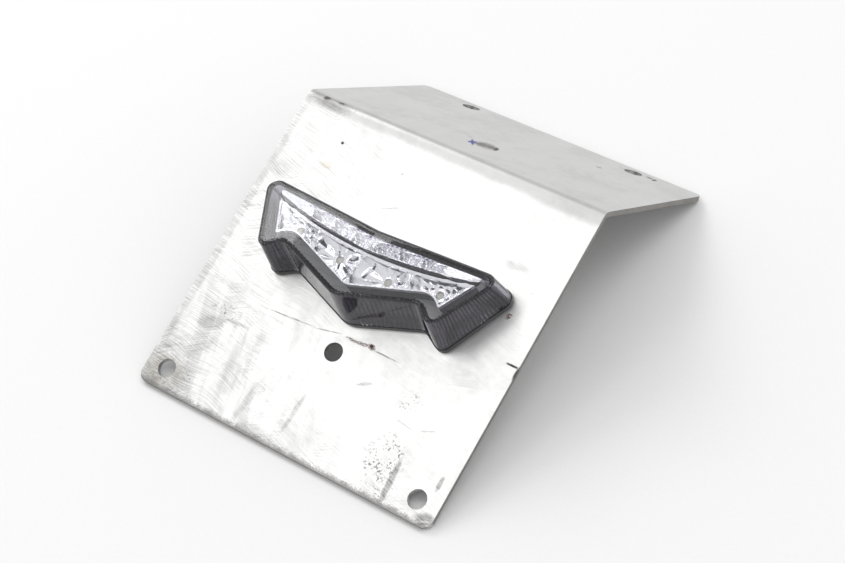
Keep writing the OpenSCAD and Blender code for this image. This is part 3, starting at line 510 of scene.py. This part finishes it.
def radii(d):
    return max(CORNER_R[0] - d, 0.4), max(CORNER_R[1] - d, 0.4), CORNER_R[2] + d, max(CORNER_R[3] - d, 2)


def arc_centre(a, b, c, r):
    u, v = unit(a - b), unit(c - b)
    return b + unit(u + v) * r / math.sqrt((1 - u @ v) / 2)


def arc(a, b, c, r, n, share=1.0):
    o = arc_centre(a, b, c, r)
    u, v = unit(a - b), unit(c - b)
    t0, t1 = b + u * ((o - b) @ u) - o, b + v * ((o - b) @ v) - o
    start = math.atan2(t0[1], t0[0])
    turn = math.atan2(t0[0] * t1[1] - t0[1] * t1[0], t0 @ t1)
    w = start + turn * share * np.linspace(0, 1, n + 1)
    return o + r * np.stack((np.cos(w), np.sin(w)), 1)


def between(p, q, n):
    return p + (q - p) * (np.arange(1, n) / n)[:, None]


# Lower boundary of the whole outline, from its right end to its left end
def lower_line(c, r, steps):
    o = arc_centre(c[0], c[1], c[2], r[0])
    u = unit(c[2] - c[1])
    w = (math.atan2(-u[0], u[1]) - math.pi) * np.linspace(0, 1, steps[0] + 1)
    end = o + r[0] * np.stack((np.cos(w), np.sin(w)), 1)
    tip = arc(c[1], c[2], c[3], r[1], steps[2])
    notch = arc(c[2], c[3], c[4], r[2], steps[4])
    apex = arc(c[3], c[4], c[3] * (-1, 1), r[3], steps[6], 0.5)
    half = np.concatenate((
        end, between(end[-1], tip[0], steps[1]), tip, between(tip[-1], notch[0], steps[3]), notch,
        between(notch[-1], apex[0], steps[5]), apex,
    ))
    return np.concatenate((half, half[-2::-1] * (-1, 1)))


# Height of that boundary over x, and far above the outline beyond its ends
def lower_y(c, r, steps, x):
    line = lower_line(c, r, steps)
    order = np.argsort(line[:, 0])
    return np.interp(x, line[order, 0], line[order, 1], left=99, right=99)


# Height of the outline's top edge over x
def upper_y(c, r, x):
    o = arc_centre(c[0], c[1], c[2], r[0])
    line = c[0][1] + (c[1][1] - c[0][1]) * np.abs(x) / c[1][0]
    dx = np.abs(x) - o[0]
    return np.where(dx > 0, np.minimum(line, o[1] + np.sqrt(np.maximum(r[0] ** 2 - dx ** 2, 0))), line)


def crease_at(x):
    return CREASE_Y + CREASE_BOW * (x / FOOT[1][0]) ** 2


def lower_face(x, y):
    return FACE_H - FACE_RISE * y - FACE_FALL * (x / FOOT[1][0]) ** 2


# Height of the lens: its face below the crease, its crown above it, and a rounded fold where they meet
def face_z(x, y):
    crease = crease_at(x)
    corners = [np.array(p, float) for p in FACE]
    top = np.maximum(upper_y(corners, radii(0), np.minimum(np.abs(x), FACE_END - 1)), crease + 1)
    at_crease = lower_face(x, crease)
    rim = RIM_H - (RIM_H - RIM_END_H) * (x / FOOT[1][0]) ** 2
    slope = (rim - at_crease) / (top - crease)
    low, high = lower_face(x, y), at_crease + slope * (y - crease)
    fold = -FOLD_SOFT * np.logaddexp(-low / FOLD_SOFT, -high / FOLD_SOFT)
    return fold + FOLD_SOFT * math.log(2) * np.exp(-((y - crease) / FOLD_REACH) ** 2)


def deck_z(y):
    return FACE_H - DECK_DROP - FACE_RISE * y


# Mesh of points in a place's own frame, smooth but for edges sharper than an angle in degrees
def mesh_from(name, points, faces, place, sharp=35):
    mesh = bpy.data.meshes.new(name)
    points = np.c_[points, np.ones(len(points))] @ np.array(place).T
    mesh.from_pydata([tuple(p) for p in points[:, :3]], [], faces)
    mesh.polygons.foreach_set("use_smooth", [True] * len(mesh.polygons))
    mesh.set_sharp_from_angle(angle=math.radians(sharp))
    mesh.update()
    return mesh


# Whole flutes along each part of the lower wall
def flute_counts():
    foot = [np.array(p, float) for p in FOOT]
    end, tip, notch, apex = CORNER_R
    side, low, wing = (np.linalg.norm(foot[i + 1] - foot[i]) for i in (1, 2, 3))
    edges = (side - end - tip, 2 * tip, low - tip - notch, notch, wing - notch - apex / 3, apex / 3)
    return [max(math.floor(e / FLUTE_PITCH + 0.5), 1) for e in edges]


# Lens: a shell with a rounded rim, a crease across its face and upright flutes inside its lower walls
def make_lens():
    steps = [FLUTE_STEPS] + [c * FLUTE_STEPS for c in flute_counts()]

    # Lower line, top line and drop below the face at each level: the foot, then the rim's round or sharp edge
    def rings(d, edge):
        result = []

        def level(corners, r, drop):
            low = lower_line(corners, r, steps)
            result.append((low, np.stack((low[:, 0], upper_y(corners, r, low[:, 0])), 1), drop))

        level(inset(FOOT, LEDGE + d, LEDGE + d), radii(LEDGE + d), None)
        top = inset(FACE, d, d)
        for w in np.linspace(0, math.pi / 2, 7) if edge > 0 else (math.pi / 2,):
            q = edge * (1 - math.cos(w))
            level(inset(top, q, q), radii(d + q), d + edge * (1 - math.sin(w)))
        return result

    # Closed ring of points at one level, with flutes of a depth along its lower line
    def closed(low, up, drop, depth):
        line = low
        if depth:
            on = np.arange(len(low))
            near_end = np.minimum(on, len(low) - 1 - on)
            fade = np.clip((near_end - 2 * FLUTE_STEPS) / (2 * FLUTE_STEPS), 0, 1)
            amount = depth * 0.5 * (1 - np.cos(2 * math.pi * ((on - steps[0]) / FLUTE_STEPS))) * fade
            tangent = np.gradient(low, axis=0)
            tangent /= np.linalg.norm(tangent, axis=1)[:, None]
            line = low - amount[:, None] * np.stack((tangent[:, 1], -tangent[:, 0]), 1)
        loop = np.concatenate((line, up[-2:0:-1]))
        z = np.full(len(loop), FOOT_H) if drop is None else face_z(loop[:, 0], loop[:, 1]) - drop
        return np.c_[loop, z]

    # Rows of points across the face: below the crease, over it and above it
    def rows(low, up, drop, below, over, above, groove):
        a, b, x = low[1:-1, 1], up[1:-1, 1], low[1:-1, 0]
        crease = np.minimum(np.maximum(crease_at(x), a + 0.3 * (b - a)), b - 0.3 * (b - a))
        width = np.minimum(1.6, 0.25 * (b - a))
        ys = [a + (crease - width - a) * t for t in np.linspace(0, 1, below)[1:]]
        ys += [crease + width * t for t in np.linspace(-1, 1, over)[1:]]
        ys += [crease + width + (b - crease - width) * t for t in np.linspace(0, 1, above)[1:-1]]
        dip = [groove * np.exp(-((y - crease) / GROOVE_HALF) ** 2) for y in ys]
        return [np.c_[x, y, face_z(x, y) - drop - d] for y, d in zip(ys, dip)]

    points, faces = [], []
    start = 0

    def put(block):
        nonlocal start
        points.append(block)
        start += len(block)
        return start - len(block)

    def band(i, j, m, flip):
        for k in range(m):
            quad = (i + k, i + (k + 1) % m, j + (k + 1) % m, j + k)
            faces.append(quad[::-1] if flip else quad)

    # Skin over a ring of m points, by way of open rows between its lower and its upper n points
    def cap(ring_at, n, m, middles, flip):
        def at(r, i):
            if i == 0:
                return ring_at
            if i == n - 1:
                return ring_at + n - 1
            if r == 0:
                return ring_at + i
            if r == len(middles) + 1:
                return ring_at + m - i
            return middles[r - 1] + i - 1

        for r in range(len(middles) + 1):
            for i in range(n - 1):
                quad = [at(r, i), at(r, i + 1), at(r + 1, i + 1), at(r + 1, i)]
                quad = [v for k, v in enumerate(quad) if v != quad[k - 1]]
                if len(quad) > 2:
                    faces.append(quad[::-1] if flip else quad)

    outer, inner = rings(0, RIM_R), rings(WALL, 0)
    n = len(outer[0][0])
    m = 2 * n - 2
    outer_at = [put(closed(*ring, 0)) for ring in outer]
    inner_at = [put(closed(*ring, FLUTE_DEPTH)) for ring in inner]
    for a, b in zip(outer_at, outer_at[1:]):
        band(a, b, m, True)
    for a, b in zip(inner_at, inner_at[1:]):
        band(a, b, m, False)
    band(outer_at[0], inner_at[0], m, False)
    cap(outer_at[-1], n, m, [put(r) for r in rows(*outer[-1], 12, 13, 8, GROOVE)], True)
    cap(inner_at[-1], n, m, [put(r) for r in rows(*inner[-1], 6, 7, 4, 0)], False)
    mesh = mesh_from("lens", np.concatenate(points), faces, ON_LAMP, 30)
    # Depth of the flutes along the lower walls, for the painted shade in the flutes
    flute = np.zeros(len(mesh.vertices), np.float32)
    for ring_at in outer_at + inner_at:
        flute[ring_at:ring_at + n] = 0.5 - 0.5 * np.cos(2 * math.pi * (np.arange(n) - steps[0]) / FLUTE_STEPS)
    mesh.attributes.new("flute", "FLOAT", "POINT").data.foreach_set("value", flute)
    lens = link("lens", mesh, lens_material())
    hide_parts("lamp_lens")


# Product of two slanting waves: a grid of cushions with a pitch along x and one along y
def cushions(x, y, slant, back_slant, pitch_x, pitch_y):
    across, along = math.pi * (x + slant * y) / pitch_x, math.pi * (y - back_slant * x) / pitch_y
    return np.abs(np.sin(across) * np.sin(along))


# Top of the reflector over its plan: the deck, and in its mouth four bowls, flat end facets and fine folds
def reflector_top(x, y, mouth):
    z = deck_z(y)
    low = z.copy()
    for bx, by, br in BOWLS:
        depth = deck_z(by) - BOARD_TOP - LED_H
        rs = (br ** 2 + depth ** 2) / (2 * depth)
        d2 = (x - bx) ** 2 + (y - by) ** 2
        away = np.sqrt(d2)
        sphere = LED_TOP + rs - np.sqrt(np.maximum(rs ** 2 - d2, 0))
        if abs(bx) > OUTER_BOWL_X:
            rise = CUSHION_H * cushions(x, y, 0.4, 0.3, *CUSHION_PITCH) ** 0.7
            sphere = sphere + rise * np.clip((away - 2.6) / 0.8, 0, 1)
        else:
            angle = np.arctan2(y - by, x - bx)
            rise = FAN_H * np.abs(np.sin(angle * FAN_FOLDS + bx))
            sphere = sphere + rise * np.clip((away - 2) / 3, 0, 1)
        low = np.where(d2 < rs ** 2, np.minimum(low, sphere), low)
        hole = np.clip((away - WINDOW_R) / WINDOW_EDGE, 0, 1)
        low = np.where(d2 < 9, BOARD_TOP + WINDOW_GAP + (low - BOARD_TOP - WINDOW_GAP) * hole, low)
    inward = FACET_X - np.abs(x)
    facet = z - inward * math.tan(FACET_SLOPE)
    low = np.where((inward > 0) & (inward < FACET_LEN * math.cos(FACET_SLOPE)), np.minimum(low, facet), low)
    low = np.where(inward <= 0, z, low)
    wedge = 1 - np.abs(x - WEDGE[0]) / WEDGE_HALF[0] - np.abs(y - WEDGE[1]) / WEDGE_HALF[1]
    low = np.where(wedge > 0, np.minimum(low + WEDGE_H * wedge, z), low)
    for x0, y0, x1, y1 in CREASES:
        dx, dy = x1 - x0, y1 - y0
        along = np.clip(((x - x0) * dx + (y - y0) * dy) / (dx * dx + dy * dy), 0, 1)
        away = np.hypot(x - x0 - along * dx, y - y0 - along * dy)
        ridge = CREASE_H * np.clip(1 - away / CREASE_HALF, 0, 1)
        low = np.where(low < z - 0.05, np.minimum(low + ridge, z), low)
    return np.where(mouth, low, z)


# Centres of the tail diodes, halfway between the crease and the top edge of the reflector
def tail_centres():
    base = inset(FACE, RIM_INSET, RIM_INSET_TOP)
    for i in range(TAIL_COUNT):
        x = (i - (TAIL_COUNT - 1) / 2) * TAIL_PITCH
        yield x, (crease_at(x) + float(upper_y(base, radii(REFLECTOR_R), np.array(x)))) / 2


def make_reflector():
    base = inset(FACE, RIM_INSET, RIM_INSET_TOP)
    r = radii(REFLECTOR_R)
    steps = [6, 90, 14, 8, 24, 110, 30]
    low = lower_line(base, r, steps)
    x, a = low[:, 0], low[:, 1]
    n = len(x)
    top = upper_y(base, r, x)
    lip_y = lower_y(inset(base, MOUTH_LIP, MOUTH_LIP), radii(REFLECTOR_R + MOUTH_LIP), steps, x)
    crease = crease_at(x)
    crease_in = np.clip(crease, a + 0.02, top - 0.01)
    rib = np.clip(crease - RIB_T, a + 0.015, crease_in - 0.005)
    mouth_top = np.clip(crease - CREASE_BAND, a + 0.01, rib - 0.003)
    mouth_low = np.minimum(np.maximum(lip_y, a + 0.005), mouth_top - 0.002)
    open_column = lip_y < crease - CREASE_BAND - 0.05
    grid = []

    def row(y, z):
        grid.append((x, y, z))

    row(a, deck_z(a) - 0.15)
    row(a + 0.12 * (mouth_low - a), deck_z(a))
    row(mouth_low - 0.04, deck_z(mouth_low))
    for t in np.linspace(0, 1, BOWL_ROWS):
        y = mouth_low + (mouth_top - mouth_low) * t
        row(y, reflector_top(x, y, open_column))
    row(mouth_top + 0.04, deck_z(mouth_top))
    # Rib along the crease
    row(rib - 0.02, deck_z(rib))
    row(rib + 0.08, deck_z(rib) + RIB_H)
    row(crease_in - 0.12, deck_z(crease_in) + RIB_H)
    row(crease_in - 0.02, deck_z(crease_in) + RIB_H - 0.12)
    # Strip above the crease: a pocket with small facets round each tail diode, and low pyramids all over
    for t in np.linspace(0, 1, STRIP_ROWS):
        y = crease_in + 0.02 + (top - crease_in - 0.02) * t
        z = np.full(n, STRIP_Z)
        for cx, cy in tail_centres():
            tx = (np.abs(x - cx) - POCKET_LOW / 2) / ((POCKET_W - POCKET_LOW) / 2)
            ty = (np.abs(y - cy) - POCKET_LOW / 2) / ((POCKET_B - POCKET_LOW) / 2)
            f = np.clip(np.maximum(tx, ty), 0, 1)
            wave = np.abs(np.sin(math.pi * (x - cx + 0.5 * y) / 1.5) * np.sin(math.pi * (y - cy) / 1.3))
            facets = POCKET_FACET_H * wave * (f > 0) * (f < 1)
            z = np.minimum(z, LED_TOP + (STRIP_Z - BOARD_TOP - LED_H) * f + facets)
        grain = PYRAMID_H * cushions(x, y, 0.6, 0.2, *PYRAMID_PITCH)
        row(y, z + grain * np.clip((31 - np.abs(x + 2)) / 2, 0, 1) * np.clip((top - y) / 0.8, 0, 1))
    X, Y, Z = (np.array([r[k] for r in grid]) for k in range(3))
    Y = np.maximum.accumulate(Y, axis=0)

    # Back of the shell: parallel to its top, with a skirt down to the board
    skirt_y = lower_y(inset(base, SHELL_T, -1), radii(REFLECTOR_R + SHELL_T), steps, X)
    hollow = np.maximum(np.minimum(Z - SHELL_T * 1.15, deck_z(Y) - SHELL_T), BOARD_TOP + 0.02)
    back = np.minimum(np.where(Y > skirt_y, hollow, BOARD_TOP), Z - 0.05)
    rows = len(X)
    points = np.concatenate((np.stack((X, Y, Z), 2).reshape(-1, 3), np.stack((X, Y, back), 2).reshape(-1, 3)))
    under = rows * n
    faces = []
    for j in range(rows - 1):
        for i in range(n - 1):
            q = (j * n + i, j * n + i + 1, (j + 1) * n + i + 1, (j + 1) * n + i)
            faces.append(q[::-1])
            faces.append(tuple(under + v for v in q))
    for i in range(n - 1):
        faces.append((i, i + 1, under + i + 1, under + i))
        k = (rows - 1) * n + i
        faces.append((under + k, under + k + 1, k + 1, k))
    for j in range(rows - 1):
        k = j * n
        faces.append((under + k, under + k + n, k + n, k))
        k = j * n + n - 1
        faces.append((k, k + n, under + k + n, under + k))
    mesh = mesh_from("reflector_shell", points, faces, ON_LAMP, 28)
    reflector = link("reflector_shell", mesh, chrome_material())
    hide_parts("reflector")


# Stud: a helical thread with a chamfered tip, a plain shank above it and a hexagon head
def make_stud(name, side, material):
    around = 48
    w = np.arange(around) * 2 * math.pi / around
    rings = []

    def ring(r, z):
        rings.append(np.c_[r * np.cos(w), r * np.sin(w), np.full(around, z)])

    for z in np.concatenate((np.arange(-STUD_LEN, -2.0, 0.1), (-1.6, HEAD_FLOOR))):
        phase = (z / THREAD_PITCH - w / (2 * math.pi)) % 1.0
        tooth = THREAD_DEPTH * np.clip(1.25 * np.abs(2 * phase - 1) - 0.12, 0, 1)
        depth = tooth * np.clip((-2.4 - z) / 0.8, 0, 1)
        ring(np.minimum(STUD_D / 2 - depth, STUD_D / 2 - TIP_CHAMFER + (z + STUD_LEN)), z)
    head_top = HEAD_FLOOR + HEAD_H
    for z, shrink in (
        (HEAD_FLOOR, HEAD_CHAMFER), (HEAD_FLOOR + HEAD_CHAMFER, 0),
        (head_top - HEAD_CHAMFER, 0), (head_top, HEAD_CHAMFER),
    ):
        ring((HEAD_AF / 2 - shrink) / np.cos(w % (math.pi / 3) - math.pi / 6), z)
    points = np.concatenate(rings + [np.array([(0, 0, -STUD_LEN), (0, 0, head_top)])])
    points[:, 0] += side * STUD_X
    faces = []
    for k in range(len(rings) - 1):
        for i in range(around):
            a, b = k * around + i, k * around + (i + 1) % around
            faces.append((a, b, b + around, a + around))
    last = (len(rings) - 1) * around
    for i in range(around):
        faces.append(((i + 1) % around, i, len(points) - 2))
        faces.append((last + i, last + (i + 1) % around, len(points) - 1))
    stud = link(name, mesh_from(name, points, faces, ON_LAMP, 32), material)
    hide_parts("stud_" + ("left" if side < 0 else "right"))


# Clear domes with the phosphor under them, in the windows of all the diodes
def make_domes(material):
    places = [(x, y, LED_TOP, BRAKE_LED_W, 1) for x, y, _ in BOWLS]
    places += [(x, y, LED_TOP, TAIL_LED_W, 1) for x, y in tail_centres()]
    for i in range(PLATE_LED_COUNT):
        x = (i - (PLATE_LED_COUNT - 1) / 2) * PLATE_LED_PITCH
        places.append((x, PLATE_LED_Y, BOARD_BOTTOM - LED_H, PLATE_LED_W, -1))
    around, rows = 24, 5
    points, faces = [], []
    for x, y, z, width, look in places:
        r, start = width * DOME_SHARE - DOME_GAP, len(points)
        for j in range(rows):
            a = j * math.pi / 2 / rows
            reach, up = r * math.cos(a), z + look * (DOME_H * math.sin(a) - DOME_SINK)
            for i in range(around):
                w = i * 2 * math.pi / around
                points.append((x + reach * math.cos(w), y + reach * math.sin(w), up))
        points.append((x, y, z + look * (DOME_H - DOME_SINK)))
        points.append((x, y, z - look * DOME_SINK))
        block = []
        for j in range(rows - 1):
            for i in range(around):
                a, b = start + j * around + i, start + j * around + (i + 1) % around
                block.append((a, b, b + around, a + around))
        last = start + (rows - 1) * around
        for i in range(around):
            block.append((last + i, last + (i + 1) % around, last + around))
            block.append((start + (i + 1) % around, start + i, last + around + 1))
        faces += block if look > 0 else [face[::-1] for face in block]
    link("led_domes", mesh_from("led_domes", np.array(points), faces, ON_LAMP), material)


# Zinc plating: bright, with a faint yellow and blue cast and dull spots
def zinc_material(name, seed):
    s = Shader(name)
    at = s.coordinates((seed * 17.0, 0, 0), LEAN)
    cast = s.noise(at, 0.35, 3)
    spots = s.ramp(s.noise(at, 1.6, 4, 0.7), 0.56, 0.66)
    tint = s.mix(s.ramp(cast, 0.35, 0.65), *ZINC)
    s.principled(Base_Color=s.mix(s.mul(spots, 0.5), tint, ZINC_SPOT), Metallic=1.0,
                 Roughness=s.add(s.mul(spots, 0.22), s.ramp(cast, 0.3, 0.7, 0.26, 0.36)))
    s.bump(s.noise(at, 4.0, 3), 0.01)
    return s.material


# Moulded plastic with a fine spark-eroded grain and a few rubbed places
def moulded_material():
    s = Shader("moulded_black")
    at = s.coordinates(RIDGE, LEAN)
    rubbed = s.ramp(s.noise(at, 0.3, 4, 0.6), 0.55, 0.75)
    s.principled(Base_Color=s.mix(rubbed, *MOULDED), Roughness=s.ramp(rubbed, 0, 1, 0.42, 0.3))
    s.bump(s.noise(at, 5.0, 2), 0.015)
    return s.material


# Board: white resist over faint copper tracks, with bare glass fibre at its cut edge
def board_material():
    s = Shader("board_resist")
    at = s.coordinates(LAMP_ORIGIN, LEAN)
    x, y, _ = s.split(at)
    weave = s.mul(s.math("SINE", s.mul(x, 9.0)), s.math("SINE", s.mul(y, 9.0)))
    wander = s.add(s.mul(y, 1.1), s.mul(s.noise(at, 0.08, 1), 6.0))
    tracks = s.ramp(s.size(s.math("SINE", wander)), 0.9, 0.96)
    flat = s.ramp(s.size(s.facing()), 0.6, 0.8)
    resist = s.mix(s.mul(tracks, 0.35), *RESIST)
    fibre = s.mix(s.ramp(weave, -0.2, 0.2), *FIBRE)
    s.principled(Base_Color=s.mix(flat, fibre, resist), Roughness=s.ramp(tracks, 0, 1, 0.32, 0.26))
    s.bump(s.add(tracks, s.mul(weave, 0.08)), 0.035)
    return s.material


# Package of a diode: white frame, with silvered ends low on its sides
def package_material(name):
    s = Shader(name)
    at = s.coordinates(LAMP_ORIGIN, LEAN)
    speck = s.noise(at, 3.0, 3)
    side = s.ramp(s.size(s.facing()), 0.5, 0.6, 1, 0)
    ends = s.mul(side, s.ramp(s.noise(at, 0.9, 1), 0.5, 0.54))
    s.principled(Base_Color=s.mix(ends, s.mix(speck, *PACKAGE), SILVERED), Metallic=ends,
                 Roughness=s.ramp(speck, 0.3, 0.7, 0.28, 0.38))
    s.bump(speck, 0.01)
    return s.material


# Body of a soldered component: black, with a fine speck
def chip_material(name):
    s = Shader(name)
    speck = s.noise(s.coordinates(LAMP_ORIGIN, LEAN), 3.0, 3)
    s.principled(Base_Color=s.mix(speck, *CHIP), Roughness=s.ramp(speck, 0.3, 0.7, 0.4, 0.55))
    s.bump(speck, 0.012)
    return s.material


# Phosphor under a clear, glossy dome
def phosphor_material():
    s = Shader("phosphor_dome")
    cloud = s.noise(s.coordinates(LAMP_ORIGIN, LEAN), 1.5, 2)
    s.principled(Base_Color=s.mix(cloud, *PHOSPHOR), Roughness=0.08, Coat_Weight=1.0, Coat_Roughness=0.03)
    s.bump(cloud, 0.01)
    return s.material


# Rubber: dull black with a pale bloom
def rubber_material():
    s = Shader("grommet_rubber")
    at = s.coordinates(RIDGE, LEAN)
    bloom = s.ramp(s.noise(at, 0.6, 5, 0.65), 0.48, 0.7)
    s.principled(Base_Color=s.mix(s.mul(bloom, 0.5), *RUBBER), Roughness=s.ramp(bloom, 0, 1, 0.58, 0.75))
    s.bump(s.noise(at, 2.5, 4), 0.03)
    return s.material


make_camera()
make_lights()
make_floor()
dress("bracket", steel_material())
soften("bracket", SHEET_ROUND)
dress("lamp_base", moulded_material())
make_lens()
make_reflector()
dress("circuit_board", board_material())
make_domes(phosphor_material())
dress("cable_grommet", rubber_material())
package, chip = package_material("led_package"), chip_material("component_body")
for i, node in enumerate(frame["nodes"]):
    if "_led_" in node:
        dress(node, package)
    if node.startswith(("washer", "spring_washer", "nut", "board_screw")):
        dress(node, zinc_material("zinc_" + node, i))
        soften(node, FASTENER_ROUND)
    if node.startswith(("resistor", "diode")):
        dress(node, chip)
for side, name in ((-1, "stud_thread_left"), (1, "stud_thread_right")):
    make_stud(name, side, zinc_material("zinc_" + name, side))
